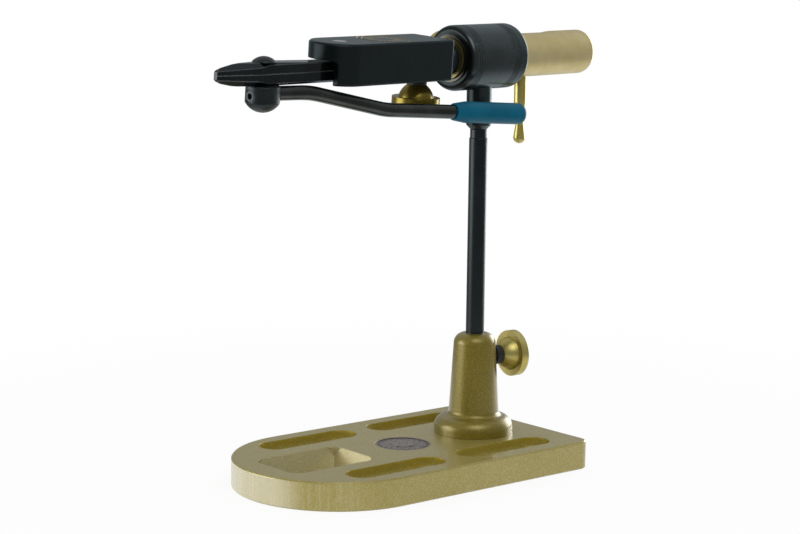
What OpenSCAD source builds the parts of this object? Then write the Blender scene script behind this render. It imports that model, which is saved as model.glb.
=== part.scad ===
/* [Base plate] */
// Width of the plate across its straight sides
plate_w = 105.6; // [80:0.1:140]
// Thickness of the plate
plate_t = 14.65; // [10:0.05:20]
// Distance from the stem axis back to the straight rear edge
plate_rear = 34.9; // [28:0.1:60]
// Distance from the stem axis forward to the centre of the round front
plate_front = 91.6; // [60:0.1:130]
// Radius of the two rear corners
plate_corner_r = 6; // [2:0.5:10]
// Bevel along the top and bottom edges
plate_bevel = 0.6; // [0.3:0.1:1.5]

/* [Trays in the plate] */
// Distance of the side trays from the middle line
side_tray_y = 35.8; // [30:0.1:40]
// Half the width of a side tray
side_tray_r = 8.4; // [5:0.1:10]
// Depth of a side tray
side_tray_depth = 8; // [4:0.5:10]
// Radius of the fillet round the floor of a side tray
side_tray_fillet = 5; // [1:0.5:6]
// Front end of the front side trays
front_pair_start = -111.8; // [-130:0.1:-90]
// Rear end of the front side trays
front_pair_end = -52.6; // [-70:0.1:-45]
// Front end of the rear side trays
rear_pair_start = -41.1; // [-44:0.1:-30]
// Rear end of the rear side trays
rear_pair_end = 18.3; // [5:0.1:24]
// Front edge of the middle tray
mid_tray_start = -131; // [-135:0.5:-110]
// Rear edge of the middle tray
mid_tray_end = -79; // [-95:0.5:-70]
// Half the width of the middle tray at the top
mid_tray_half = 17.4; // [10:0.1:22]
// Depth of the middle tray
mid_tray_depth = 10.5; // [5:0.5:12]
// How far each wall of the middle tray leans in towards the floor
mid_tray_lean = 4.5; // [1:0.5:8]
// Corner radius of the middle tray
mid_tray_corner = 7; // [2:0.5:12]

/* [Medallion] */
// Distance of the medallion in front of the stem axis
medal_x = -48.26; // [-60:0.1:-40]
// Radius of the medallion
medal_r = 14.2; // [8:0.1:16]
// Thickness of the medallion
medal_t = 1.6; // [1:0.1:3]
// Depth of the groove cut round the face
medal_groove = 0.3; // [0.1:0.05:0.8]
// Width of the raised rim of the medallion
medal_rim = 1.2; // [0.6:0.1:3]
// Radius of the raised boss in the middle
medal_boss_r = 6.5; // [3:0.1:10]

/* [Post] */
// Radius of the foot of the post
foot_r = 20.7; // [16:0.1:26]
// Height of the straight rim of the foot
foot_rim = 3; // [1:0.1:5]
// Radius of the post just above its foot
post_low_r = 13.1; // [10:0.1:18]
// Radius of the round step at the foot
foot_round = 6; // [4:0.5:7]
// Radius of the hollow between that step and the post
flare_r = 3; // [1:0.5:5]
// Radius of the post at its shoulder
post_top_r = 11.0; // [8:0.1:15]
// Height of the top of the post above the table
post_top = 67.5; // [50:0.5:90]
// Radius of the rounded shoulder
shoulder_r = 5.5; // [1:0.5:6]
// Depth of the stem hole below the top of the post
stem_hole_depth = 43.5; // [30:0.5:46]
// Number of screws that hold the post down
post_screws = 3; // [2:1:4]
// Distance of those screws from the stem axis
post_screw_path = 8.5; // [8:0.1:10]
// Radius of one of those screws
post_screw_r = 2.5; // [2:0.5:3]
// Radius of a post screw's head
post_screw_head_r = 4.25; // [3.5:0.05:5]
// Height of a post screw's head
post_screw_head_h = 5; // [4:0.5:8]
// How far a post screw reaches into the post
post_screw_reach = 8; // [5:0.5:9]

/* [Stem] */
// Diameter of the stem, three eighths of an inch
stem_d = 9.525; // [8:0.005:12.7]
// Height of the lower end of the stem above the table
stem_bottom = 25; // [24:0.5:40]
// Height of the shoulder where the neck starts
neck_start = 169.8; // [150:0.1:200]
// Diameter of the neck under the housing
neck_d = 8.7; // [6:0.1:9]
// Diameter of the spigot that turns in the housing
spigot_d = 8; // [6:0.1:8.6]
// Length of the spigot above the neck
spigot_len = 16; // [10:0.5:20]
// Bevel on the lower end of the stem
stem_bevel = 0.8; // [0.3:0.1:2]

/* [Head placement] */
// Height of the head's turning axis above the table
head_z = 211.75; // [180:0.05:240]
// Turn of the whole head about the stem, in degrees
head_turn = 6.66; // [0:0.01:45]
// Roll of the jaws and their block about the head's axis, in degrees
head_roll = 4; // [0:0.5:10]

/* [Housing] */
// Outside radius of the barrel
barrel_r = 16.7; // [14:0.05:20]
// Distance from the stem axis to the front face of the barrel
barrel_front = 22.8; // [18:0.1:30]
// Distance from the stem axis to the rear face of the barrel
barrel_rear = 20.8; // [16:0.1:30]
// Rounding of the barrel's ends
barrel_round = 3; // [0.5:0.1:4]
// Depth of the fine grooves round the barrel
groove_depth = 0.25; // [0.2:0.05:0.8]
// Width of one fine groove
groove_w = 0.6; // [0.4:0.1:1.5]
// Distance between neighbouring fine grooves
groove_pitch = 1.8; // [1.2:0.1:3]
// Distance of the front group of grooves from the stem axis
groove_front_x = -18.9; // [-19:0.1:-8]
// Distance of the rear group of grooves from the stem axis
groove_rear_x = 9.1; // [8:0.1:16]
// Radius of the boss under the barrel
boss_r = 6.5; // [6:0.1:9]
// Height of the lower end of the boss above the table
boss_bottom = 174.4; // [170:0.1:185]
// Height of the bevel on the lower end of the boss
boss_bevel = 2.3; // [0.5:0.1:3]

/* [Bearings and shaft] */
// Radius of the shaft through the barrel
shaft_r = 6; // [4:0.1:8]
// Outside radius of a bearing
bearing_r = 12; // [10:0.1:14]
// Width of a bearing
bearing_w = 7; // [5:0.5:9]
// Radial thickness of a bearing ring
ring_t = 1.6; // [1:0.1:2.5]
// Radius of a bearing ball
ball_r = 1.55; // [1:0.05:2.5]
// Number of balls in a bearing
ball_count = 9; // [6:1:12]
// How far a bearing stands out of the barrel's face
bearing_proud = 0.9; // [0:0.1:2]
// Radius of the bright collar in front of the bearing
collar_r = 10.6; // [8:0.1:11]
// Thickness of the collar
collar_t = 1.2; // [0.8:0.1:3]
// Radius of the dark hub between the block and the collar
hub_r = 8.6; // [6:0.1:10]
// Radius of the narrow part of the hub
hub_neck_r = 6.6; // [5:0.1:8]

/* [Tail and crank] */
// Outside radius of the tail sleeve
tail_r = 11.66; // [9:0.05:14]
// Distance from the stem axis to the end of the tail sleeve
tail_end = 80.8; // [60:0.1:100]
// Rounding of the end of the tail sleeve
tail_round = 3; // [0.5:0.1:4]
// Height of the milled flat above the head's axis
flat_z = 10.7; // [9:0.1:11.5]
// Distance from the stem axis to the end of the flat
flat_end = 54; // [40:0.5:70]
// Length of the run-out slope behind the flat
flat_ramp = 7; // [2:0.5:10]
// Distance from the stem axis to the crank
crank_x = 32.5; // [26:0.1:40]
// Radius of the crank rod
crank_r = 3.175; // [2.5:0.005:5]
// Radius of the crank where it is thinnest
crank_waist_r = 2.1; // [1.5:0.05:3]
// Radius of the round bulb at the end of the crank
crank_bulb_r = 3.15; // [2.5:0.05:5]
// Distance below the head's axis where the crank starts to taper
crank_taper_z = 25; // [20:0.5:30]
// Distance below the head's axis of the crank's waist
crank_waist_z = 36.4; // [30:0.1:42]
// Distance below the head's axis of the end of the bulb
crank_end_z = 46.8; // [40:0.1:60]
// Depth of the crank's root in the tail sleeve
crank_root = 4.5; // [2:0.5:5]
// Radius of the set screw opposite the crank
sleeve_screw_r = 2.5; // [1.5:0.25:3]
// Length of the set screw opposite the crank
sleeve_screw_len = 3; // [2:0.5:5]

/* [Head block] */
// Half the width of the block and the radius of its round nose
block_half = 14.8; // [12:0.1:18]
// Distance from the stem axis to the centre of the round nose
nose_x = -102.6; // [-120:0.1:-90]
// Distance from the stem axis to the rear face of the block
block_rear = -35.2; // [-45:0.1:-30]
// Height of the top of the block above the head's axis
block_top = 11.3; // [8:0.1:14]
// Depth of the underside of the block below the head's axis
block_under = 8.95; // [8:0.05:12]
// Bevel along the edges of the block
block_bevel = 0.8; // [0.3:0.1:2]
// Radius of the two rear corners of the block
block_corner = 2.5; // [1:0.1:5]
// Height of the slot's roof above the head's axis
slot_roof = 3; // [2.6:0.1:5]
// Distance of the closed slot wall from the middle of the block
slot_wall = 7.4; // [5.5:0.1:9]
// Distance from the stem axis to the front end of that wall
wall_front = -113; // [-118:0.1:-100]
// Rounding where that wall meets the roof
wall_round = 2; // [0.5:0.5:3]
// Distance from the arm pivot to the back of the slot
slot_back = 7.2; // [6:0.1:9]
// Radius of the bright plug in the nose
plug_r = 3.5; // [2:0.1:5]
// Length of the bright plug
plug_len = 5; // [3:0.5:6]
// How far the shaft is let into the block's back
shaft_seat = 4; // [2:0.1:4.5]
// Distance of the engraved rings from the stem axis
rings_x = -72.5; // [-80:0.1:-65]
// Radius of the outer engraved ring
rings_r = 13.4; // [8:0.1:14]
// Width of an engraved ring
rings_w = 0.7; // [0.4:0.1:2]
// Depth of an engraved ring
rings_depth = 0.3; // [0.1:0.05:0.6]

/* [Jaws] */
// Distance from the stem axis to the pivot of the jaw arm
arm_x = -46.3; // [-55:0.1:-42]
// Width of the jaw arm and the jaws
jaw_w = 9.4; // [8:0.1:12]
// Height of the top of the jaw arm above the head's axis
jaw_top = 2.3; // [1:0.1:2.5]
// Height of the thicker front of the upper jaw above the head's axis
front_top = 3.1; // [2.5:0.1:5]
// Distance from the stem axis to where the upper jaw starts to thicken
swell_x = -119; // [-130:0.5:-118.5]
// Depth of the underside of the jaws below the head's axis
jaw_under = 7.7; // [6:0.1:10]
// Depth of the slit between the jaws below the head's axis
slit_z = 2.2; // [1:0.1:4]
// Distance from the stem axis to the hinge pin of the upper jaw
jaw_pin_x = -92; // [-100:0.5:-80]
// Radius of that hinge pin
jaw_pin_r = 1.5; // [1:0.1:2]
// Radius of the upper jaw's tongue round that pin
tongue_r = 2.3; // [2:0.1:2.4]
// Half the thickness of that tongue
tongue_half = 1.6; // [1:0.1:2.5]
// Radius of the arm's eye round its pivot
eye_r = 5.7; // [4.5:0.1:7]
// Distance from the stem axis to the tips of the jaws
tip_x = -181.3; // [-200:0.1:-170]
// Distance from the stem axis to where the jaws start to narrow
nose_start = -157; // [-165:0.5:-150]
// Half the width of the jaws at their tips
tip_half = 1.1; // [0.5:0.1:3]
// Length of the curved front of the jaws
nose_len = 14; // [8:0.5:20]
// Bevel along the long edges of the jaws
jaw_bevel = 1; // [0.3:0.1:1.5]
// How fast those bevels widen towards the tips, in degrees
nose_bevel_turn = 8; // [4:0.5:10]
// Running gap between the jaws when they are closed
jaw_gap = 0.05; // [0.02:0.01:0.3]

/* [Jaw clamp] */
// Distance from the stem axis to the clamp's axis
clamp_x = -151.3; // [-156:0.1:-140]
// Radius of the domed head of the clamp bolt
dome_r = 5.9; // [4:0.1:8]
// Height of that dome
dome_h = 2.7; // [2:0.1:5]
// Radius of the clamp bolt
clamp_bolt_r = 2.5; // [2:0.1:3.5]
// Length of the clamp bolt below the lower jaw
clamp_bolt_reach = 8; // [5:0.5:10]
// Radius of the cam barrel
cam_r = 8.25; // [6:0.05:10]
// Height of the straight part of the cam barrel
cam_h = 7.9; // [7:0.1:12]
// Height of the dome under the cam barrel
cam_dome = 4.8; // [3:0.1:7]

/* [Lever] */
// Swing of the lever towards the near side, in degrees
lever_swing = 11; // [10:0.5:20]
// Diameter of the lever rod
lever_d = 7; // [5:0.05:8]
// Depth of the rod's axis below the head's axis at the cam barrel
lever_root_z = 11.8; // [11.5:0.1:12.5]
// Distance along the lever to its first bend
bend_one_s = 26; // [20:0.5:40]
// Distance along the lever to its second bend
bend_two_s = 70.5; // [60:0.5:90]
// Depth of the rod's axis at the second bend
bend_two_z = 21.3; // [18:0.1:28]
// Distance along the lever to the end of the grip
lever_end_s = 156; // [140:0.5:180]
// Depth of the grip's axis at its end
lever_end_z = 25.6; // [22:0.1:34]
// Radius of the rod's bends
bend_r = 50; // [10:1:60]
// How much thicker the rod is in its bends, per side
bend_swell = 0.03; // [0.01:0.01:0.1]
// Length of the grip
grip_len = 44; // [40:0.5:70]
// Radius of the grip
grip_r = 5.4; // [4.5:0.05:8]
// Radius of the grip's front end
grip_front_r = 4.3; // [3.9:0.05:6]
// Length of the grip's tapered front end
grip_taper = 7; // [3:0.5:12]
// Radius of the rounding at the rear end of the grip
grip_round = 3.2; // [1:0.1:4]
// Depth of the hole in the grip
grip_hole_len = 38; // [30:0.5:44]
// Radius of the set screw in the cam barrel
cam_screw_r = 2.9; // [2:0.1:3.2]
// Length of the set screw in the cam barrel
cam_screw_len = 5; // [2:0.5:5]
// How much lower than the rod that screw sits
cam_screw_drop = 1; // [0:0.1:1]
// Turn of that screw from straight opposite the lever, in degrees
cam_screw_turn = 8; // [0:1:20]

/* [Thumb screws] */
// Radius of the disc of a thumb screw
knob_r = 12.15; // [9:0.05:15]
// Thickness of the disc of a thumb screw
knob_t = 4.6; // [3:0.1:7]
// Small radius of the bell of a thumb screw
bell_small_r = 4.7; // [4:0.1:6]
// Large radius of the bell of a thumb screw
bell_large_r = 8.9; // [6:0.1:11]
// Length of the bell of a thumb screw
bell_len = 6.3; // [4:0.1:9]
// How far the bell bows out from a straight cone
bell_bow = 0.7; // [0.3:0.1:1.5]
// Radius of the threaded shank of a thumb screw
shank_r = 3; // [2.5:0.1:4]
// Thickness of the rubber rings under the two thumb screws of the head
seal_t = 2; // [1:0.1:3]
// Thickness of the rubber ring under the stem lock
stem_seal_t = 4.2; // [1:0.1:6]
// Outside radius of that rubber ring
seal_r = 5; // [4:0.1:6]
// Bevel on the disc of a thumb screw
knob_bevel = 0.5; // [0.2:0.1:1.5]
// Height of the stem lock above the table
stem_lock_z = 54.2; // [40:0.1:60]
// Direction of the stem lock, in degrees from straight back
stem_lock_turn = -6.4; // [-45:0.5:45]
// Distance from the stem axis to the stem lock's rubber ring
stem_lock_seat = 12; // [11:0.1:15]
// Depth of the flat spot face in the barrel that the rotation lock's rubber ring sits on
spin_lock_spot = 1.5; // [0.6:0.1:3]
// Distance of the rotation lock behind the stem axis
spin_lock_x = 0; // [-5:0.1:5]
// Distance below the head's axis to the angle lock's rubber ring
angle_lock_seat = 10.2; // [10:0.1:12]
// Distance a thumb screw moves in one turn
screw_pitch = 1; // [0.5:0.1:1.5]

/* [Hidden] */
// Clearances, all in millimetres: running fits, loose fits and seats
run_gap = 0.05;
loose_gap = 0.3;
seat_gap = 0.1;
bolt_hole_gap = 0.6;
over = 1;
plate_half = plate_w / 2;
stem_r = stem_d / 2;
spigot_r = spigot_d / 2;
lever_r = lever_d / 2;
neck_top = boss_bottom + boss_bevel;
foot_z = plate_t;
post_hole_bottom = post_top - stem_hole_depth;
front_cx = -plate_front;
tray_floor_z = plate_t - side_tray_depth;
tray_deep_z = plate_t - mid_tray_depth;
race_in_r = shaft_r + run_gap + ring_t;
race_out_r = bearing_r - ring_t;
ball_path_r = (race_in_r + race_out_r) / 2;
bearing_front_x = -barrel_front - bearing_proud;
bearing_rear_x = barrel_rear - bearing_w;
collar_x = bearing_front_x - loose_gap - collar_t;
tail_start = barrel_rear + loose_gap;
spin_lock_seat = barrel_r - spin_lock_spot;
shaft_front = block_rear - shaft_seat;
shaft_end = flat_end;
half_share = 0.5;
ring_share = 0.82;
socket_wide_share = 0.9;
hex_share = 0.55;
lap_share = 0.025;
facets = 96;
ball_facets = 48;
small_facets = 64;
hex_sides = 6;
right = 90;
groove_count = 3;
socket_share = 0.6;
slot_end_x = arm_x + slot_back;
mid_x = (mid_tray_start + mid_tray_end) / 2;
mid_len = mid_tray_end - mid_tray_start;
jaw_half = jaw_w / 2;
lower_top = -slit_z - jaw_gap;
upper_under = -slit_z;
root_top = slot_roof - run_gap;
eye_under = angle_lock_seat;
fork_front = jaw_pin_x - tongue_r - loose_gap;
fork_back = jaw_pin_x + tongue_r + loose_gap;
cam_top = -jaw_under - loose_gap;
cam_low = cam_top - cam_h;
bolt_low = -jaw_under - clamp_bolt_reach;
rod_start = clamp_bolt_r + loose_gap;
bend_lap = bend_r * lap_share;
lever_slope = atan2(bend_two_z - lever_root_z, bend_two_s - bend_one_s);
grip_slope = atan2(lever_end_z - bend_two_z, lever_end_s - bend_two_s);
nose_shares = [[0, 0.3], [0.06, 0.5], [0.25, 0.74], [0.6, 0.92], [1, 1]];
bronze = [0.60, 0.56, 0.42];
brass = [0.72, 0.63, 0.25];
black_steel = [0.07, 0.08, 0.08];
black_coat = [0.10, 0.10, 0.11];
bright = [0.75, 0.75, 0.76];
grip_blue = [0.10, 0.36, 0.50];
rubber_black = [0.05, 0.05, 0.05];
silver_grey = [0.58, 0.56, 0.60];

// A round bar from one height to another
module rod_z(z_low, z_high, r) {
  translate([0, 0, z_low]) cylinder(h = z_high - z_low, r = r, $fn = facets);
}

// A bar along the head's axis from one distance to another
module rod_x(x_low, x_high, r) {
  translate([x_low, 0, 0]) rotate([0, right, 0])
    cylinder(h = x_high - x_low, r = r, $fn = facets);
}

// Places its children in the head's own frame
module in_head() {
  translate([0, 0, head_z]) rotate([0, 0, head_turn]) children();
}

// Places its children in the frame of the block and jaws
module in_block() {
  in_head() rotate([head_roll, 0, 0]) children();
}

// Outline of the plate, drawn in by an amount
module plate_outline(inset) {
  r_corner = plate_corner_r;
  union() {
    translate([front_cx, 0]) circle(r = plate_half - inset, $fn = facets);
    translate([front_cx, -plate_half + inset])
      square([plate_front + plate_rear - r_corner, plate_w - 2 * inset]);
    translate([front_cx, -plate_half + r_corner])
      square([plate_front + plate_rear - inset, plate_w - 2 * r_corner]);
    for (s = [-1, 1]) translate([plate_rear - r_corner, s * (plate_half - r_corner)])
      circle(r = r_corner - inset, $fn = facets);
  }
}

// The sloping band along the top edge of the plate
module plate_edge() {
  c = plate_bevel;
  r_corner = plate_corner_r;
  run = plate_front + plate_rear - r_corner;
  translate([front_cx, 0, 0])
    cylinder(h = c, r1 = plate_half, r2 = plate_half - c, $fn = facets);
  for (s = [-1, 1]) translate([plate_rear - r_corner, s * (plate_half - r_corner), 0])
    cylinder(h = c, r1 = r_corner, r2 = r_corner - c, $fn = facets);
  translate([front_cx, 0, 0]) rotate([right, 0, right]) linear_extrude(run)
    polygon([[-plate_half, 0], [plate_half, 0], [plate_half - c, c], [c - plate_half, c]]);
  translate([front_cx, plate_half - r_corner, 0]) rotate([right, 0, 0])
    linear_extrude(plate_w - 2 * r_corner)
    polygon([[0, 0], [run + r_corner, 0], [run + r_corner - c, c], [0, c]]);
}

// Half of the cross-section of a side tray
module tray_half() {
  f = side_tray_fillet;
  union() {
    translate([0, f]) square([side_tray_r, side_tray_depth + over - f]);
    square([side_tray_r - f, f + over]);
    intersection() {
      translate([side_tray_r - f, f]) circle(r = f, $fn = facets);
      square([side_tray_r, f]);
    }
  }
}

// One long side tray between two distances from the stem axis
module side_tray(x_low, x_high) {
  a = x_low + side_tray_r;
  b = x_high - side_tray_r;
  translate([0, 0, tray_floor_z]) {
    for (x = [a, b]) translate([x, 0, 0]) rotate_extrude($fn = facets) tray_half();
    translate([a, 0, 0]) rotate([right, 0, right]) linear_extrude(b - a) {
      tray_half();
      mirror([1, 0]) tray_half();
    }
  }
}

// The middle tray with its leaning walls
module mid_tray() {
  d = mid_tray_depth;
  l = mid_tray_lean;
  u = l * over / d;
  intersection() {
    translate([0, mid_tray_half + over, tray_deep_z]) rotate([right, 0, 0])
      linear_extrude(2 * (mid_tray_half + over))
      polygon([[mid_tray_start + l, 0], [mid_tray_end - l, 0],
        [mid_tray_end + u, d + over], [mid_tray_start - u, d + over]]);
    translate([mid_tray_start - over, 0, tray_deep_z]) rotate([right, 0, right])
      linear_extrude(mid_len + 2 * over)
      polygon([[l - mid_tray_half, 0], [mid_tray_half - l, 0],
        [mid_tray_half + u, d + over], [-mid_tray_half - u, d + over]]);
    translate([0, 0, tray_deep_z]) linear_extrude(d + over) union() {
      c = mid_tray_corner;
      for (x = [mid_tray_start + c, mid_tray_end - c], s = [-1, 1])
        translate([x, s * (mid_tray_half - c)]) circle(r = c, $fn = facets);
      translate([mid_tray_start + c, -mid_tray_half])
        square([mid_len - 2 * c, 2 * mid_tray_half]);
      translate([mid_tray_start, c - mid_tray_half])
        square([mid_len, 2 * (mid_tray_half - c)]);
    }
  }
}

// The heavy plate, one casting, with five trays milled in its top
module base_plate() {
  color(bronze) difference() {
    union() {
      translate([0, 0, plate_bevel]) linear_extrude(plate_t - 2 * plate_bevel)
        plate_outline(0);
      translate([0, 0, plate_t - plate_bevel]) plate_edge();
      translate([0, 0, plate_bevel]) mirror([0, 0, 1]) plate_edge();
    }
    for (s = [-1, 1]) translate([0, s * side_tray_y, 0]) {
      side_tray(front_pair_start, front_pair_end);
      side_tray(rear_pair_start, rear_pair_end);
    }
    mid_tray();
    translate([medal_x, 0, 0]) rod_z(plate_t - medal_t, plate_t + over, medal_r + seat_gap);
    at_post_screws() {
      rod_z(-over, plate_t + over, post_screw_r + loose_gap);
      rod_z(-over, post_screw_head_h + plate_bevel, post_screw_head_r + loose_gap);
    }
  }
}

// A bare disc with a raised rim and middle, let into the plate
module base_medallion() {
  color(silver_grey) translate([medal_x, 0, plate_t - medal_t]) difference() {
    rod_z(0, medal_t, medal_r);
    difference() {
      rod_z(medal_t - medal_groove, medal_t + over, medal_r - medal_rim);
      rod_z(0, medal_t + 2 * over, medal_boss_r);
    }
  }
}

// The turned post with its flared foot
module stem_post() {
  h = post_top - foot_z;
  step_x = foot_r - foot_round;
  hollow_x = post_low_r + flare_r;
  reach = foot_round + flare_r;
  hollow_z = foot_rim + sqrt(reach * reach - (hollow_x - step_x) * (hollow_x - step_x));
  meet = foot_round / reach;
  color(bronze) difference() {
    translate([0, 0, foot_z]) rotate_extrude($fn = facets) difference() {
      union() {
        difference() {
          polygon([[0, 0], [step_x, 0], [step_x, foot_rim],
            [step_x + meet * (hollow_x - step_x), foot_rim + meet * (hollow_z - foot_rim)],
            [hollow_x, hollow_z], [post_low_r, hollow_z], [post_top_r, h - shoulder_r],
            [post_top_r - shoulder_r, h], [0, h]]);
          translate([hollow_x, hollow_z]) circle(r = flare_r, $fn = facets);
        }
        square([foot_r, foot_rim]);
        translate([step_x, foot_rim]) circle(r = foot_round, $fn = facets);
        translate([post_top_r - shoulder_r, h - shoulder_r])
          circle(r = shoulder_r, $fn = facets);
      }
      translate([-foot_r, -over - foot_round])
        square([foot_r, h + 2 * over + foot_round]);
      translate([-over, -foot_round - over]) square([foot_r + 2 * over, foot_round + over]);
    }
    rod_z(post_hole_bottom, post_top + over, stem_r + run_gap);
    at_post_screws()
      rod_z(foot_z - over, foot_z + post_screw_reach + seat_gap, post_screw_r);
    translate([0, 0, stem_lock_z]) rotate([0, 0, stem_lock_turn])
      rod_x(0, post_low_r + over, shank_r + run_gap);
  }
}

// Places its children at each of the screws that hold the post
module at_post_screws() {
  for (i = [0 : post_screws - 1]) rotate([0, 0, i * 4 * right / post_screws])
    translate([post_screw_path, 0, 0]) children();
}

// The cap screws from under the plate into the post
module post_bolts() {
  head_top = plate_bevel + post_screw_head_h;
  color(black_steel) at_post_screws() difference() {
    union() {
      rod_z(plate_bevel, head_top, post_screw_head_r);
      rod_z(plate_bevel + post_screw_head_h * socket_share, foot_z + post_screw_reach,
        post_screw_r);
    }
    rod_hex(0, plate_bevel + post_screw_head_h * socket_share,
      post_screw_r * socket_wide_share);
  }
}

// A six-sided socket
module rod_hex(z_low, z_high, r) {
  translate([0, 0, z_low]) cylinder(h = z_high - z_low, r = r, $fn = hex_sides);
}

// A thumb screw along Z, with its bell starting above a rubber ring of a thickness
module thumb_screw(shank_len, seal_len) {
  b = knob_bevel;
  top = seal_len + bell_len;
  widen = bell_large_r - bell_small_r;
  chord = norm([widen, bell_len]);
  bow = (chord * chord / 4 + bell_bow * bell_bow) / (2 * bell_bow);
  in_x = (bell_small_r + bell_large_r) / 2 - (bow - bell_bow) * bell_len / chord;
  in_z = bell_len / 2 + (bow - bell_bow) * widen / chord;
  rod_z(-shank_len, top, shank_r);
  translate([0, 0, seal_len]) rotate_extrude($fn = facets) intersection() {
    square([bell_large_r, bell_len]);
    translate([in_x, in_z]) circle(r = bow, $fn = facets);
  }
  rod_z(top, top + knob_t - b, knob_r);
  translate([0, 0, top + knob_t - b])
    cylinder(h = b, r1 = knob_r, r2 = knob_r - b, $fn = facets);
}

// A rubber ring of a thickness that sits under a thumb screw
module seal_ring(seal_len) {
  difference() {
    rod_z(0, seal_len, seal_r);
    rod_z(-over, seal_len + over, shank_r + run_gap);
  }
}

// Places its children on the stem lock's axis, pointing out of the post
module at_stem_lock() {
  translate([0, 0, stem_lock_z]) rotate([0, 0, stem_lock_turn])
    translate([stem_lock_seat, 0, 0]) rotate([0, right, 0]) children();
}

// Places its children on the rotation lock's axis, pointing away from the barrel
module at_spin_lock() {
  in_head() translate([spin_lock_x, spin_lock_seat, 0]) rotate([-right, 0, 0]) children();
}

// Places its children on the angle lock's axis, pointing down
module at_angle_lock() {
  in_block() translate([arm_x, 0, -angle_lock_seat]) rotate([2 * right, 0, 0]) children();
}

// The rubber ring of the stem lock
module stem_lock_ring() { color(rubber_black) at_stem_lock() seal_ring(stem_seal_t); }

// The thumb screw that holds the stem at its height
module stem_lock_knob() {
  color(brass) at_stem_lock() thumb_screw(stem_lock_seat - stem_r - run_gap, stem_seal_t);
}

// The straight stem with the neck and spigot that carry the housing
module stem_rod() {
  b = stem_bevel;
  color(black_steel) {
    translate([0, 0, stem_bottom])
      cylinder(h = b, r1 = stem_r - b, r2 = stem_r, $fn = facets);
    rod_z(stem_bottom + b, neck_start, stem_r);
    rod_z(neck_start, boss_bottom, neck_d / 2);
    rod_z(boss_bottom, boss_bottom + spigot_len, spigot_r);
  }
}

// The barrel with its boss, bored for the bearings, the spigot and the rotation lock
module spindle_housing() {
  e = barrel_round;
  color(black_coat) difference() {
    union() {
      in_head() rotate([0, right, 0]) rotate_extrude($fn = facets) difference() {
        union() {
          translate([0, -barrel_front + e])
            square([barrel_r, barrel_front + barrel_rear - 2 * e]);
          translate([0, -barrel_front])
            square([barrel_r - e, barrel_front + barrel_rear]);
          for (x = [-barrel_front + e, barrel_rear - e])
            translate([barrel_r - e, x]) circle(r = e, $fn = facets);
        }
        translate([-barrel_r, -barrel_front - over])
          square([barrel_r, barrel_front + barrel_rear + 2 * over]);
        for (x0 = [groove_front_x, groove_rear_x], i = [0 : groove_count - 1])
          translate([barrel_r - groove_depth, x0 + i * groove_pitch])
            square([over, groove_w]);
      }
      rod_z(neck_top, head_z, boss_r);
      translate([0, 0, boss_bottom])
        cylinder(h = boss_bevel, r1 = boss_r - boss_bevel, r2 = boss_r, $fn = facets);
    }
    in_head() {
      rod_x(-barrel_front - over, barrel_rear + over, shaft_r + loose_gap);
      rod_x(-barrel_front - over, bearing_front_x + bearing_w, bearing_r);
      rod_x(bearing_rear_x, barrel_rear + over, bearing_r);
    }
    rod_z(boss_bottom - over, boss_bottom + spigot_len + loose_gap, spigot_r + run_gap);
    in_head() translate([spin_lock_x, 0, 0]) rotate([-right, 0, 0]) {
      rod_z(0, barrel_r + over, shank_r + run_gap);
      rod_z(spin_lock_seat, barrel_r + over, seal_r + loose_gap);
    }
  }
}

// The ring of one bearing between two radii
module race(x_low, r_in, r_out) {
  difference() {
    rod_x(x_low, x_low + bearing_w, r_out);
    rod_x(x_low - over, x_low + bearing_w + over, r_in);
    translate([x_low + bearing_w / 2, 0, 0]) rotate([0, right, 0])
      rotate_extrude($fn = facets) translate([ball_path_r, 0])
      circle(r = ball_r + run_gap, $fn = ball_facets);
  }
}

// The two outer bearing rings, pressed in the barrel
module bearing_outer_rings() {
  color(bright) in_head() for (x = [bearing_front_x, bearing_rear_x])
    race(x, race_out_r, bearing_r);
}

// The two inner bearing rings on the shaft
module bearing_inner_rings() {
  color(bright) in_head() for (x = [bearing_front_x, bearing_rear_x])
    race(x, shaft_r, race_in_r);
}

// The balls of both bearings
module bearing_balls() {
  color(bright) in_head() for (x = [bearing_front_x, bearing_rear_x])
    for (i = [0 : ball_count - 1]) rotate([i * 4 * right / ball_count, 0, 0])
      translate([x + bearing_w / 2, 0, ball_path_r])
      sphere(r = ball_r, $fn = ball_facets);
}

// The rubber ring of the rotation lock
module spin_lock_ring() { color(rubber_black) at_spin_lock() seal_ring(seal_t); }

// The thumb screw that brakes the shaft
module spin_lock_knob() {
  color(brass) at_spin_lock() thumb_screw(spin_lock_seat - shaft_r - run_gap, seal_t);
}

// The shaft through the barrel with the dark hub in front of it
module spindle_shaft() {
  hub_start = block_rear;
  hub_end = collar_x;
  neck = (hub_end - hub_start) * half_share;
  color(black_steel) in_head() {
    rod_x(shaft_front, shaft_end, shaft_r);
    rod_x(hub_start, hub_start + neck, hub_neck_r);
    rod_x(hub_end - neck * half_share, hub_end, hub_r);
    translate([hub_start + neck, 0, 0]) rotate([0, right, 0])
      cylinder(h = neck * half_share, r1 = hub_neck_r, r2 = hub_r, $fn = facets);
  }
}

// The bright collar in front of the front bearing
module spindle_collar() {
  color(brass) in_head() difference() {
    rod_x(collar_x, collar_x + collar_t, collar_r);
    rod_x(collar_x - over, collar_x + collar_t + over, shaft_r);
  }
}

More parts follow.
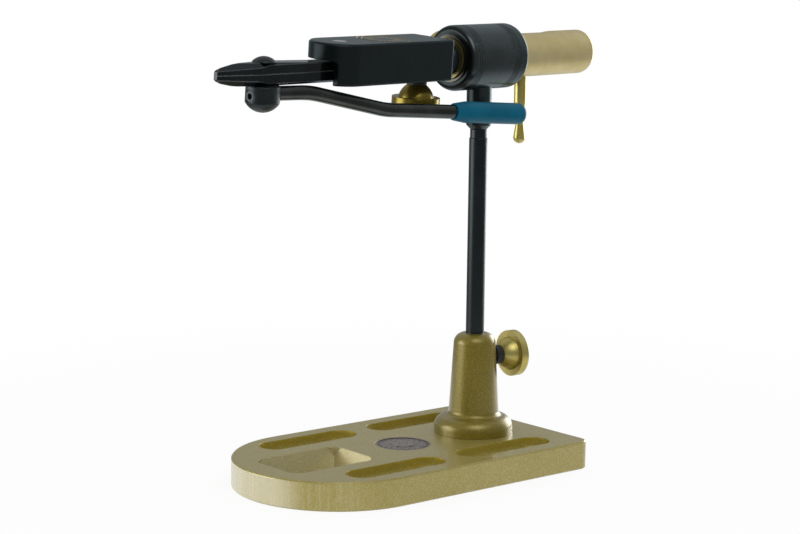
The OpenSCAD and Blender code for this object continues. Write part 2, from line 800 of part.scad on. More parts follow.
// The tail sleeve with its flat, the crank's socket and the set screw's hole
module tail_sleeve() {
  e = tail_round;
  color(brass) difference() {
    in_head() rotate([0, right, 0]) rotate_extrude($fn = facets) intersection() {
      union() {
        translate([0, tail_start]) square([tail_r, tail_end - e - tail_start]);
        translate([0, tail_start]) square([tail_r - e, tail_end - tail_start]);
        translate([tail_r - e, tail_end - e]) circle(r = e, $fn = facets);
      }
      translate([0, tail_start]) square([tail_r, tail_end - tail_start]);
    }
    in_head() {
      rod_x(tail_start - over, shaft_end, shaft_r);
      translate([0, tail_r + over, 0]) rotate([right, 0, 0])
        linear_extrude(2 * (tail_r + over))
        polygon([[tail_start - over, flat_z], [flat_end, flat_z],
          [flat_end + flat_ramp, tail_r + over], [tail_start - over, tail_r + over]]);
      translate([crank_x, 0, 0]) {
        rod_z(0, tail_r + over, sleeve_screw_r);
        rod_z(-tail_r - over, crank_root - tail_r, crank_r);
      }
    }
  }
}

// The set screw in the flat that grips the shaft
module sleeve_screw() {
  color(black_steel) in_head() translate([crank_x, 0, shaft_r]) difference() {
    rod_z(0, sleeve_screw_len, sleeve_screw_r);
    rod_hex(sleeve_screw_len * (1 - socket_share), sleeve_screw_len + over,
      sleeve_screw_r * hex_share);
  }
}

// The crank that turns the head
module crank_lever() {
  r_b = crank_bulb_r;
  z_b = -crank_end_z + r_b;
  color(brass) in_head() translate([crank_x, 0, 0]) {
    rod_z(-crank_taper_z, crank_root - tail_r, crank_r);
    translate([0, 0, -crank_waist_z])
      cylinder(h = crank_waist_z - crank_taper_z, r1 = crank_waist_r, r2 = crank_r,
        $fn = facets);
    translate([0, 0, z_b]) cylinder(h = -crank_waist_z - z_b, r1 = r_b,
      r2 = crank_waist_r, $fn = facets);
    translate([0, 0, z_b]) sphere(r = r_b, $fn = facets);
  }
}

// Plan of the block, drawn in by an amount
module block_outline(inset) {
  c = block_corner;
  union() {
    translate([nose_x, 0]) circle(r = block_half - inset, $fn = facets);
    translate([nose_x, inset - block_half])
      square([block_rear - nose_x - c, 2 * (block_half - inset)]);
    translate([nose_x, c - block_half])
      square([block_rear - nose_x - inset, 2 * (block_half - c)]);
    for (s = [-1, 1]) translate([block_rear - c, s * (block_half - c)])
      circle(r = c - inset, $fn = small_facets);
  }
}

// The sloping band along the top or bottom edge of the block
module block_edge() {
  e = block_bevel;
  c = block_corner;
  run = block_rear - nose_x;
  translate([nose_x, 0, 0])
    cylinder(h = e, r1 = block_half, r2 = block_half - e, $fn = facets);
  for (s = [-1, 1]) translate([block_rear - c, s * (block_half - c), 0])
    cylinder(h = e, r1 = c, r2 = c - e, $fn = small_facets);
  translate([nose_x, 0, 0]) rotate([right, 0, right]) linear_extrude(run - c)
    polygon([[-block_half, 0], [block_half, 0], [block_half - e, e], [e - block_half, e]]);
  translate([nose_x, block_half - c, 0]) rotate([right, 0, 0])
    linear_extrude(2 * (block_half - c))
    polygon([[0, 0], [run, 0], [run - e, e], [0, e]]);
}

// The space under the roof in front of the side wall
module nose_opening() {
  r = wall_round;
  low = -block_under - over;
  start = nose_x - block_half - over;
  translate([0, block_half + over, 0]) rotate([right, 0, 0])
    linear_extrude(2 * (block_half + over)) union() {
      translate([start, low]) square([wall_front - start, slot_roof - r - low]);
      translate([start, low]) square([wall_front - r - start, slot_roof - low]);
      translate([wall_front - r, slot_roof - r]) circle(r = r, $fn = small_facets);
    }
}

// The head block: a thick roof, one side wall and a back, open on the far side
module head_block() {
  color(black_coat) in_block() difference() {
    union() {
      translate([0, 0, block_bevel - block_under])
        linear_extrude(block_top + block_under - 2 * block_bevel) block_outline(0);
      translate([0, 0, block_top - block_bevel]) block_edge();
      translate([0, 0, block_bevel - block_under]) mirror([0, 0, 1]) block_edge();
    }
    translate([nose_x - block_half - over, -slot_wall, -block_under - over])
      cube([slot_end_x - nose_x + block_half + over, block_half + slot_wall + over,
        block_under + slot_roof + over]);
    nose_opening();
    rod_x(block_rear - shaft_seat, block_rear + over, shaft_r);
    translate([arm_x, 0, 0]) rod_z(0, block_top * socket_share, shank_r + run_gap);
    translate([nose_x, 0, 0]) rod_z(block_top - plug_len, block_top + over, plug_r);
    for (r = [rings_r, rings_r * ring_share]) translate([rings_x, 0, 0]) difference() {
      rod_z(block_top - rings_depth, block_top + over, r);
      rod_z(-over, block_top + 2 * over, r - rings_w);
    }
  }
}

// The bright plug in the block's nose
module nose_plug() {
  color(bright) in_block() translate([nose_x, 0, 0])
    rod_z(block_top - plug_len, block_top, plug_r);
}

// The rubber ring of the angle lock
module angle_lock_ring() { color(rubber_black) at_angle_lock() seal_ring(seal_t); }

// The thumb screw that clamps the jaw arm under the block's roof
module angle_lock_knob() {
  color(brass) at_angle_lock()
    thumb_screw(angle_lock_seat + block_top * socket_share - screw_pitch * 2, seal_t);
}

// The jaw arm with its eye, its fork and the lower jaw
module jaw_lower() {
  h = jaw_under + lower_top;
  color(black_steel) in_block() difference() {
    union() {
      translate([arm_x, 0, 0]) rod_z(-eye_under, root_top, eye_r);
      intersection() {
        translate([0, jaw_half, 0]) rotate([right, 0, 0]) linear_extrude(jaw_w)
          polygon(concat([[arm_x, -jaw_under], [arm_x, jaw_top], [fork_front, jaw_top],
            [fork_front, lower_top], [tip_x, lower_top]],
            [for (p = nose_shares) [tip_x + p[0] * nose_len, lower_top - p[1] * h]]));
        jaw_plan();
        jaw_section(jaw_top);
      }
    }
    translate([fork_front - over, -tongue_half - seat_gap, -tongue_r - loose_gap])
      cube([fork_back - fork_front + over, 2 * (tongue_half + seat_gap),
        jaw_top + tongue_r + loose_gap + over]);
    nose_bevels();
    pin_y(jaw_half + over, jaw_pin_r);
    translate([arm_x, 0, 0]) rod_z(-eye_under - over, root_top + over, shank_r + run_gap);
    translate([clamp_x, 0, 0]) rod_z(-jaw_under - over, jaw_top, clamp_bolt_r + run_gap);
  }
}

// A cross bar at the jaw hinge, as long to each side
module pin_y(half, r) {
  translate([jaw_pin_x, half, 0]) rotate([right, 0, 0])
    cylinder(h = 2 * half, r = r, $fn = small_facets);
}

// Plan view of the arm and jaws, narrowing to the tips
module jaw_plan() {
  translate([0, 0, -jaw_under - over])
    linear_extrude(jaw_under + front_top + 2 * over)
    polygon([[arm_x, -jaw_half], [arm_x, jaw_half], [nose_start, jaw_half],
      [tip_x, tip_half], [tip_x, -tip_half], [nose_start, -jaw_half]]);
}

// Cross-section of the arm and jaws with its four bevelled edges, up to a height
module jaw_section(top) {
  b = jaw_bevel;
  translate([tip_x - over, 0, 0]) rotate([right, 0, right])
    linear_extrude(arm_x - tip_x + 2 * over)
    polygon([[b - jaw_half, -jaw_under], [jaw_half - b, -jaw_under],
      [jaw_half, b - jaw_under], [jaw_half, top - b], [jaw_half - b, top],
      [b - jaw_half, top], [-jaw_half, top - b], [-jaw_half, b - jaw_under]]);
}

// What the widening bevels take off the front of the jaws
module nose_bevels() {
  b = jaw_bevel / 2;
  mid = (front_top - jaw_under) / 2;
  tall = (front_top + jaw_under) / 2;
  reach = clamp_x - tip_x + jaw_w;
  for (s = [-1, 1], t = [-1, 1])
    translate([clamp_x, s * (jaw_half - b), mid + t * (tall - b)])
      rotate([s * (t - 2) * right / 2, 0, 0]) rotate([0, -nose_bevel_turn, 0])
      translate([-reach, -jaw_w, 0]) cube([reach, 2 * jaw_w, jaw_w]);
}

// The hinge pin of the upper jaw
module jaw_hinge_pin() { color(bright) in_block() pin_y(jaw_half, jaw_pin_r); }

// The upper jaw with the tongue that turns on the hinge pin
module jaw_upper() {
  h = front_top - upper_under;
  back = fork_front - loose_gap;
  color(black_steel) in_block() difference() {
    union() {
      intersection() {
        translate([0, jaw_half, 0]) rotate([right, 0, 0]) linear_extrude(jaw_w)
          polygon(concat([[tip_x, upper_under], [back, upper_under], [back, jaw_top],
            [swell_x, jaw_top], [clamp_x + dome_r, front_top]],
            [for (i = [len(nose_shares) - 1 : -1 : 0]) [tip_x
              + nose_shares[i][0] * nose_len, upper_under + nose_shares[i][1] * h]]));
        jaw_plan();
        jaw_section(front_top);
      }
      pin_y(tongue_half, tongue_r);
      translate([back - over, -tongue_half, upper_under])
        cube([jaw_pin_x - back + over, 2 * tongue_half, jaw_top - upper_under]);
    }
    nose_bevels();
    pin_y(jaw_half, jaw_pin_r + run_gap);
    translate([clamp_x, 0, 0])
      rod_z(-jaw_under, front_top + over, clamp_bolt_r + bolt_hole_gap);
  }
}

// A round cap with a curved face, base at zero, domed upwards
module dome(r, h) {
  ball = (r * r + h * h) / (2 * h);
  rotate_extrude($fn = facets) intersection() {
    translate([0, h - ball]) circle(r = ball, $fn = facets * 2);
    square([r, h]);
  }
}

// The bolt with the domed head that pulls the jaws together
module clamp_bolt() {
  color(black_steel) in_block() translate([clamp_x, 0, 0]) {
    translate([0, 0, front_top]) dome(dome_r, dome_h);
    rod_z(bolt_low, front_top, clamp_bolt_r);
  }
}

// Places its children on the clamp's axis, with +X along the lever
module at_lever() {
  in_block() translate([clamp_x, 0, 0]) rotate([0, 0, -lever_swing]) children();
}

// The cam barrel under the jaws
module cam_barrel() {
  color(black_steel) at_lever() difference() {
    union() {
      rod_z(cam_low, cam_top, cam_r);
      translate([0, 0, cam_low]) mirror([0, 0, 1]) dome(cam_r, cam_dome);
    }
    rod_z(bolt_low - loose_gap, cam_top + over, clamp_bolt_r + run_gap);
    translate([0, 0, -lever_root_z]) {
      rod_x(rod_start, cam_r + over, lever_r);
      rotate([0, 0, cam_screw_turn]) translate([0, 0, -cam_screw_drop])
        rod_x(-cam_r - over, -rod_start, cam_screw_r);
    }
  }
}

// The set screw in the cam barrel, opposite the lever
module cam_set_screw() {
  color(black_steel) at_lever() rotate([0, 0, cam_screw_turn])
    translate([-rod_start, 0, -lever_root_z - cam_screw_drop])
    rotate([0, -right, 0]) difference() {
      rod_z(0, cam_screw_len, cam_screw_r);
      rod_hex(cam_screw_len * (1 - socket_share), cam_screw_len + over,
        cam_screw_r * hex_share);
    }
}

// A bend of the lever rod that starts along X and turns down by an angle
module rod_bend(angle) {
  translate([0, 0, -bend_r]) rotate([-right, -right, 0])
    rotate_extrude(angle = angle, $fn = facets) translate([bend_r, 0])
    circle(r = lever_r + bend_swell, $fn = facets);
}

// The lever rod, bent down and then part of the way up again
module lever_rod() {
  up = lever_slope - grip_slope;
  in_one = bend_r * tan(lever_slope / 2);
  in_two = bend_r * tan(up / 2);
  run_one = bend_one_s - rod_start - in_one;
  run_two = norm([bend_two_s - bend_one_s, bend_two_z - lever_root_z]) - in_one - in_two;
  run_three = norm([lever_end_s - bend_two_s, lever_end_z - bend_two_z]) - in_two
    - grip_len + grip_hole_len;
  color(black_steel) at_lever() translate([rod_start, 0, -lever_root_z]) {
    rod_x(0, run_one + bend_lap, lever_r);
    translate([run_one, 0, 0]) {
      rod_bend(lever_slope);
      translate([bend_r * sin(lever_slope), 0, bend_r * (cos(lever_slope) - 1)])
        rotate([0, lever_slope, 0]) {
          rod_x(-bend_lap, run_two + bend_lap, lever_r);
          translate([run_two, 0, 0]) {
            mirror([0, 0, 1]) rod_bend(up);
            translate([bend_r * sin(up), 0, bend_r * (1 - cos(up))])
              rotate([0, -up, 0]) rod_x(-bend_lap, run_three, lever_r);
          }
        }
    }
  }
}

// The grip on the end of the lever
module lever_grip() {
  g = grip_round;
  color(grip_blue) at_lever() translate([lever_end_s, 0, -lever_end_z])
    rotate([0, grip_slope - right, 0]) difference() {
      union() {
        translate([0, 0, grip_len - grip_taper])
          cylinder(h = grip_taper, r1 = grip_r, r2 = grip_front_r, $fn = facets);
        rod_z(g, grip_len - grip_taper, grip_r);
        rod_z(0, g, grip_r - g);
        translate([0, 0, g]) rotate_extrude($fn = facets) intersection() {
          translate([grip_r - g, 0]) circle(r = g, $fn = facets);
          translate([0, -g]) square([grip_r, g]);
        }
      }
      rod_z(grip_len - grip_hole_len, grip_len + over, lever_r);
    }
}

base_plate();
base_medallion();
stem_post();
post_bolts();
stem_lock_ring();
stem_lock_knob();
stem_rod();
spindle_housing();
bearing_outer_rings();
bearing_balls();
spin_lock_ring();
spin_lock_knob();
spindle_shaft();
bearing_inner_rings();
spindle_collar();
tail_sleeve();
sleeve_screw();
crank_lever();
head_block();
nose_plug();
angle_lock_ring();
angle_lock_knob();
jaw_lower();
jaw_hinge_pin();
jaw_upper();
clamp_bolt();
cam_barrel();
cam_set_screw();
lever_rod();
lever_grip();
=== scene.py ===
# Rotary fly tying vise on its pedestal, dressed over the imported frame
import math

import bpy
from mathutils import Matrix, Vector

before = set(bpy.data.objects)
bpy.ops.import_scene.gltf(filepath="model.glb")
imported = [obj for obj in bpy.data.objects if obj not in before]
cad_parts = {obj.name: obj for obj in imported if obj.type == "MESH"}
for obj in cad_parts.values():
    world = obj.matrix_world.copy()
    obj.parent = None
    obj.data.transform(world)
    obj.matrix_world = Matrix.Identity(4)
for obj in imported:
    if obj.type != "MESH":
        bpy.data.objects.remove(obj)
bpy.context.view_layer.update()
print("frame in, nodes:", len(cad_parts))

mm = 0.001
head = {
    "height": 211.75 * mm,  # its axis above the table
    "swivel": math.radians(6.66),  # its turn on the stem
    "lean": math.radians(4.0),  # the block's lean towards the near side
}


# shader helpers

class Wire:
    # a socket that takes part in sums
    def __init__(self, finish, socket):
        self.finish = finish
        self.socket = socket

    def __add__(self, other):
        return self.finish.math("ADD", self, other)

    def __radd__(self, other):
        return self.finish.math("ADD", other, self)

    def __sub__(self, other):
        return self.finish.math("SUBTRACT", self, other)

    def __rsub__(self, other):
        return self.finish.math("SUBTRACT", other, self)

    def __mul__(self, other):
        return self.finish.math("MULTIPLY", self, other)

    def __rmul__(self, other):
        return self.finish.math("MULTIPLY", other, self)

    def __abs__(self):
        return self.finish.math("ABSOLUTE", self)

    def step(self, low, high):
        # 0 below low, 1 above high, smooth between; low may be the greater
        return self.finish.node("ShaderNodeMapRange", {"interpolation_type": "SMOOTHSTEP"},
                                {"Value": self, "From Min": low, "From Max": high})


class Finish:
    # a material that makes its nodes as they are asked for
    sockets = {
        "colour": "Base Color",
        "rough": "Roughness",
        "metal": "Metallic",
        "specular": "Specular IOR Level",
        "tint": "Specular Tint",
        "coat": "Coat Weight",
        "coatRough": "Coat Roughness",
        "coatIor": "Coat IOR",
        "normal": "Normal",
    }

    def __init__(self, name, **constants):
        self.material = bpy.data.materials.new(name)
        self.material.use_nodes = True
        self.tree = self.material.node_tree
        self.shader = self.tree.nodes["Principled BSDF"]
        for key, value in constants.items():
            self.set(key, value)

    def set(self, key, value):
        self.feed(self.shader.inputs[self.sockets[key]], value)

    def feed(self, socket, value):
        if isinstance(value, Wire):
            self.tree.links.new(value.socket, socket)
        else:
            socket.default_value = value

    def node(self, kind, settings=None, values=None, out=0):
        made = self.tree.nodes.new(kind)
        for name, value in (settings or {}).items():
            setattr(made, name, value)
        for name, value in (values or {}).items():
            self.feed(made.inputs[name], value)
        return Wire(self, made.outputs[out])

    def math(self, operation, first, second=0):
        return self.node("ShaderNodeMath", {"operation": operation}, {0: first, 1: second})

    def dot(self, first, second):
        return self.node("ShaderNodeVectorMath", {"operation": "DOT_PRODUCT"},
                         {0: first, 1: second}, "Value")

    def place(self):
        return self.node("ShaderNodeTexCoord", out="Object")

    def outwards(self):
        return self.node("ShaderNodeTexCoord", out="Normal")

    def local(self, origin, turn=(0, 0, 0)):
        # object coordinates seen from a frame at origin, turned by Euler angles
        return self.node("ShaderNodeMapping", {"vector_type": "TEXTURE"},
                         {"Vector": self.place(), "Location": origin, "Rotation": turn})

    def stretched(self, vector, scale):
        return self.node("ShaderNodeVectorMath", {"operation": "MULTIPLY"}, {0: vector, 1: scale})

    def axis(self, vector, letter):
        return self.node("ShaderNodeSeparateXYZ", values={"Vector": vector}, out=letter)

    def reach(self, x, y):
        # distance from the middle
        return self.math("SQRT", x * x + y * y)

    def waves(self, x, y, count):
        # from -1 to 1 and back, count times round the middle
        return self.math("COSINE", self.math("ARCTAN2", y, x) * count)

    def noise(self, vector, scale, detail, roughness=0.5):
        return self.node("ShaderNodeTexNoise", values={"Vector": vector, "Scale": scale,
                                                       "Detail": detail, "Roughness": roughness})

    def mix(self, share, first, second):
        return self.node("ShaderNodeMix", {"data_type": "RGBA"},
                         {0: share, 6: first, 7: second}, out=2)

    def soft(self, radius):
        # a normal that runs softly round the edges
        return self.node("ShaderNodeBevel", {"samples": 4}, {"Radius": radius})

    def edges(self, radius):
        # 1 on sharp edges, 0 on faces
        face = self.node("ShaderNodeNewGeometry", out="Normal")
        return (1 - self.dot(self.soft(radius), face)).step(0.01, 0.10)

    def ends(self, start, full):
        # 1 on faces that look along X
        return abs(self.axis(self.outwards(), "X")).step(start, full)

    def bump(self, height, distance, strength, under=None):
        values = {"Height": height, "Distance": distance, "Strength": strength}
        if under is not None:
            values["Normal"] = under
        return self.node("ShaderNodeBump", values=values)


def rgb(red, green, blue):
    # a colour of 0 to 255 as a screen shows it, in linear light
    def linear(value):
        share = value / 255
        return share / 12.92 if share <= 0.04045 else ((share + 0.055) / 1.055) ** 2.4
    return (linear(red), linear(green), linear(blue), 1.0)


def wear(finish, nodes):
    for name in nodes:
        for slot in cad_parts[name].material_slots:
            slot.material = finish.material


# the plate's and post's coating; pairs in these dictionaries are where a fade starts and is full

coating = {
    "rough": 0.40,
    "roughSpecks": 0.16,  # how much specks and clouds change the roughness
    "roughClouds": 0.08,
    "metal": 0.52,
    "coatRough": 0.24,
    "speckSize": 0.6 * mm,
    "speckDepth": 0.07 * mm,
    "speckBump": 0.6,
    "glintSize": 0.4 * mm,
    "glintFrom": (0.56, 0.70),
    "pitSize": 0.75 * mm,
    "pitFrom": (0.42, 0.30),
    "cloudScale": 60.0,
    "grainTurn": (0.6, 0.4, 0.5),  # no face lies along the noise's own grid
    "glints": 0.42,  # shares that glints, clouds and pits take of the colour
    "clouds": 0.15,
    "pits": 0.3,
    "rimRound": 1.0 * mm,  # how soft the coated edges look
}

plate = {
    "base": rgb(166, 154, 90),
    "deep": rgb(148, 133, 36),
    "bright": rgb(232, 226, 200),
    "clear": 0.8,  # weight of the clear coat
    "noseCentre": -91.6 * mm,  # the middle of its round front
}

post = {
    "base": rgb(134, 120, 26),  # painted reflection: its coating is painted darker and greener than the plate's same coating, standing in for the dark room that its face mirrors
    "deep": rgb(108, 94, 4),
    "bright": rgb(190, 178, 96),
    "clear": 0.3,  # its clear coat where it faces the eye
    "clearSides": 0.7,  # and what that gains at a glancing view
    "clearIor": 1.75,
}

trays = {
    "wall": rgb(176, 156, 30),  # painted shade: the four long trays' walls are painted a deeper olive than the plate, for the shade and self-reflection in the recesses
    "fromSide": (49.5 * mm, 47.5 * mm),  # distance from the middle line, or the nose's middle
    "fromRear": (31 * mm, 30 * mm),
    "fromMiddle": (23 * mm, 25 * mm),  # the long trays lie past this, the middle one before it
    "steep": (0.85, 0.45),  # from a floor to a wall, by how far it looks up
    "heights": (8 * mm, 14 * mm),
    "low": 0.3,  # share of the painted shade at the bottom
    "gain": 0.5,  # and what it gains up to the top, where the painted shade is deepest
    "middlePaintedLight": 0.22,  # painted light: the middle tray's sloping walls are painted paler, as if lit from above
}

cutter = {
    # upright marks of the cutter round the plate's front, and a painted highlight on the front's
    # faces that look straight ahead
    "along": (-100 * mm, -118 * mm),
    "steep": (0.6, 0.2),
    "spacing": 1.6 * mm,
    "stretch": (1.0, 1.0, 0.03),
    "depth": 0.10 * mm,
    "bump": 0.6,
    "smoother": 1.6,  # the front is smoother than the rest, and its streaks differ in gloss
    "roughStreaks": 0.14,
    "paleFrom": (0.5, 0.72),
    "paleStreaks": 0.14,
    "ahead": (0.80, 0.97),  # painted highlight: faces that look straight ahead are painted paler
    "highlightAhead": 0.5,
}


# painted shade on the long trays' walls, and painted light on the middle tray's walls
def trayShadeAndLight(finish, tone):
    place = finish.place()
    x = finish.axis(place, "X")
    y = finish.axis(place, "Y")
    pastNose = finish.math("MINIMUM", x - plate["noseCentre"], 0)
    inside = finish.reach(pastNose, y).step(*trays["fromSide"]) * x.step(*trays["fromRear"])
    walls = inside * abs(finish.axis(finish.outwards(), "Z")).step(*trays["steep"])
    longTrays = abs(y).step(*trays["fromMiddle"])
    shadeRise = trays["low"] + finish.axis(place, "Z").step(*trays["heights"]) * trays["gain"]
    tone = finish.mix(walls * longTrays * shadeRise, tone, trays["wall"])
    return finish.mix(walls * (1 - longTrays) * trays["middlePaintedLight"], tone, plate["bright"])


def cutterMarksAndHighlight(finish, tone, rough, normal):
    place = finish.place()
    outwards = finish.outwards()
    atFront = finish.axis(place, "X").step(*cutter["along"])
    sides = abs(finish.axis(outwards, "Z")).step(*cutter["steep"]) * atFront
    stretched = finish.stretched(place, cutter["stretch"])
    streaks = finish.noise(stretched, 1 / cutter["spacing"], 4.0, 0.6)
    # painted highlight on the front faces that look straight ahead, added to the pale cutter
    # streaks
    ahead = (0 - finish.axis(outwards, "X")).step(*cutter["ahead"]) * cutter["highlightAhead"]
    streaksAndHighlight = sides * (streaks.step(*cutter["paleFrom"]) * cutter["paleStreaks"] + ahead)
    tone = finish.mix(streaksAndHighlight, tone, plate["bright"])
    rough = rough + sides * (streaks - cutter["smoother"]) * cutter["roughStreaks"]
    return tone, rough, finish.bump(streaks * sides, cutter["depth"], cutter["bump"], normal)


def coatFinish(name, piece):
    finish = Finish(name, metal=coating["metal"], coatRough=coating["coatRough"])
    spot = finish.local((0, 0, 0), coating["grainTurn"])
    specks = finish.noise(spot, 1 / coating["speckSize"], 2.5, 0.6)
    clouds = finish.noise(spot, coating["cloudScale"], 3.0)
    glints = finish.noise(spot, 1 / coating["glintSize"], 1.0).step(*coating["glintFrom"])
    pits = finish.noise(spot, 1 / coating["pitSize"], 1.0).step(*coating["pitFrom"])
    tone = finish.mix(specks.step(0.3, 0.7), piece["deep"], piece["base"])
    if piece is plate:
        tone = trayShadeAndLight(finish, tone)
    tone = finish.mix(glints * coating["glints"], tone, piece["bright"])
    tone = finish.mix(clouds.step(0.35, 0.7) * coating["clouds"], tone, piece["deep"])
    tone = finish.mix(pits * coating["pits"], tone, piece["deep"])
    uneven = (specks - 0.5) * coating["roughSpecks"] + (clouds - 0.5) * coating["roughClouds"]
    rough = coating["rough"] + uneven
    rim = finish.soft(coating["rimRound"])
    normal = finish.bump(specks, coating["speckDepth"], coating["speckBump"], rim)
    if piece is plate:
        tone, rough, normal = cutterMarksAndHighlight(finish, tone, rough, normal)
        finish.set("coat", plate["clear"])
    else:
        glancing = finish.node("ShaderNodeLayerWeight", values={"Blend": 0.5}, out="Facing")
        finish.set("coat", post["clear"] + glancing * post["clearSides"])
        finish.set("coatIor", post["clearIor"])
    finish.set("colour", tone)
    finish.set("rough", rough)
    finish.set("normal", normal)
    return finish


wear(coatFinish("plateCoating", plate), ["base_plate"])
wear(coatFinish("postCoating", post), ["stem_post"])
print("coating on")

# the emblem disc, plain rings and a plain flower of lines

medallion = {
    "centre": (-48.26 * mm, 0, 0),
    "face": rgb(150, 144, 138),
    "grain": rgb(130, 124, 120),
    "dark": rgb(58, 52, 58),
    "rough": 0.40,
    "metal": 0.5,
    "rings": [13.3 * mm, 12.3 * mm, 2.2 * mm],
    "flowers": [
        # distance from the middle, swing in and out, petals
        (8.52 * mm, 2.84 * mm, 6),
        (5.964 * mm, 1.988 * mm, 12),
        (10.508 * mm, 1.278 * mm, 18),
    ],
    "ringLine": (0.45 * mm, 0.225 * mm),  # half a line's width, outside and inside its soft edge
    "petalLine": (0.585 * mm, 0.315 * mm),
    "lineDark": 0.85,
    "lineDepth": 0.12 * mm,
    "lineBump": 0.7,
    "grainScale": 1500.0,
    "grainDepth": 0.03 * mm,
    "grainBump": 0.5,
}


def medallionFinish():
    finish = Finish("medallionMetal", metal=medallion["metal"], rough=medallion["rough"])
    spot = finish.local(medallion["centre"])
    x = finish.axis(spot, "X")
    y = finish.axis(spot, "Y")
    radius = finish.reach(x, y)
    lines = [abs(radius - ring).step(*medallion["ringLine"]) for ring in medallion["rings"]]
    for middle, swing, petals in medallion["flowers"]:
        petal = radius - middle - finish.waves(x, y, petals) * swing
        lines.append(abs(petal).step(*medallion["petalLine"]))
    marks = finish.math("MINIMUM", sum(lines), 1)
    grain = finish.noise(spot, medallion["grainScale"], 2.0)
    tone = finish.mix(grain.step(0.3, 0.7), medallion["grain"], medallion["face"])
    rubbed = finish.bump(grain, medallion["grainDepth"], medallion["grainBump"])
    normal = finish.bump(1 - marks, medallion["lineDepth"], medallion["lineBump"], rubbed)
    finish.set("colour", finish.mix(marks * medallion["lineDark"], tone, medallion["dark"]))
    finish.set("normal", normal)
    return finish


wear(medallionFinish(), ["base_medallion"])
print("emblem disc on")

# brass

brass = {
    "metal": 0.82,
    "lathePitch": 0.35 * mm,
    "latheBump": 0.5,
    "roughLathe": 0.10,  # how much the lathe's lines and the blush change the roughness
    "roughBlush": 0.06,
    "blushScale": 90.0,
    "blush": 0.5,  # shares that blush and specks take of the colour
    "speckScale": 1900.0,
    "speckFrom": (0.66, 0.78),
    "specks": 0.3,
}

# these scale the coordinates, so that the lathe's lines run round the piece
upright = (0.08, 0.08, 1.0)
lengthwise = (1.0, 0.03, 0.03)

brassPieces = {
    "polishedBrass": {
        "light": rgb(200, 187, 116),
        "deep": rgb(156, 138, 38),
        "rough": 0.32,
        "lines": upright,
        "lineDepth": 0.010 * mm,
        "nodes": ["stem_lock_knob", "spin_lock_knob", "crank_lever"],
    },
    # painted shade: the knob under the block is painted in a darker copy of the brass
    "shadedBrass": {
        "light": rgb(138, 122, 52),
        "deep": rgb(84, 70, 10),
        "rough": 0.24,
        "lines": upright,
        "lineDepth": 0.010 * mm,
        "nodes": ["angle_lock_knob"],
    },
    "satinBrass": {
        "light": rgb(206, 192, 142),
        "deep": rgb(184, 168, 108),
        "rough": 0.36,
        "lines": lengthwise,
        "lineDepth": 0.015 * mm,
        "nodes": ["tail_sleeve"],
    },
    # painted reflection: the collar's brass is painted dark olive, for the dark block that it
    # faces and mirrors
    "shadedCollarBrass": {
        "light": rgb(122, 114, 74),
        "deep": rgb(70, 62, 28),
        "rough": 0.26,
        "lines": lengthwise,
        "lineDepth": 0.010 * mm,
        "nodes": ["spindle_collar"],
    },
}


def brassFinish(name, piece):
    finish = Finish(name, metal=brass["metal"])
    spot = finish.local((0, 0, head["height"]), (0, 0, head["swivel"]))
    lathe = finish.noise(finish.stretched(spot, piece["lines"]), 1 / brass["lathePitch"], 3.0, 0.7)
    blush = finish.noise(finish.place(), brass["blushScale"], 4.0)
    specks = finish.noise(finish.place(), brass["speckScale"], 2.0).step(*brass["speckFrom"])
    stain = blush.step(0.35, 0.7) * brass["blush"] + specks * brass["specks"]
    uneven = (lathe - 0.5) * brass["roughLathe"] + blush * brass["roughBlush"]
    finish.set("colour", finish.mix(stain, piece["light"], piece["deep"]))
    finish.set("rough", piece["rough"] + uneven)
    finish.set("normal", finish.bump(lathe, piece["lineDepth"], brass["latheBump"]))
    return finish


for name, piece in brassPieces.items():
    wear(brassFinish(name, piece), piece["nodes"])
print("brass on")

# the coated black parts: the barrel and the block

sheen = (0.82, 0.95, 1.0, 1.0)  # the cool tint of what black parts mirror

blackCoat = {
    "metal": 0.85,
    "specular": 0.30,
    "end": rgb(20, 24, 24),  # painted shade: faces that look along the head are painted darker
    "endShare": 0.8,
    "endFrom": (0.5, 0.8),
    "grainScale": 2600.0,
    "grainDepth": 0.012 * mm,
    "grainBump": 0.5,
    "cloudScale": 70.0,
    "roughGrain": 0.12,
    "roughClouds": 0.08,
}

barrel = {
    "tone": rgb(66, 71, 72),
    "light": rgb(76, 82, 83),
    "clouds": 0.6,  # share of the light tone in the clouds
    "rough": 0.26,
    "edgeRound": 0.1 * mm,
}

block = {
    "tone": rgb(43, 49, 50),
    "rough": 0.30,
    "edgeRound": 0.8 * mm,
    "gold": rgb(190, 160, 84),
    "goldShare": 0.85,
    "topFrom": (9.8 * mm, 10.2 * mm),  # only the top is gilded, this far above the head's axis
    "ringCentre": -72.5 * mm,  # along the block
    "rings": [13.1 * mm, 10.688 * mm],
    "ringLine": (0.45 * mm, 0.3 * mm),  # half a ring's width, outside and inside its soft edge
    "strokes": 22,  # short strokes inside the rings
    "strokeFrom": (5.092 * mm, 5.628 * mm),
    "strokeTo": (9.648 * mm, 9.112 * mm),
    "strokeEdge": (0.1, 0.5),
}


def gilding(finish):
    # plain rings and strokes on the block's top
    spot = finish.local((0, 0, head["height"]), (head["lean"], 0, head["swivel"]))
    x = finish.axis(spot, "X") - block["ringCentre"]
    y = finish.axis(spot, "Y")
    radius = finish.reach(x, y)
    rings = [abs(radius - ring).step(*block["ringLine"]) for ring in block["rings"]]
    band = radius.step(*block["strokeFrom"]) * radius.step(*block["strokeTo"])
    strokes = finish.waves(x, y, block["strokes"]).step(*block["strokeEdge"]) * band
    return (sum(rings) + strokes) * finish.axis(spot, "Z").step(*block["topFrom"])


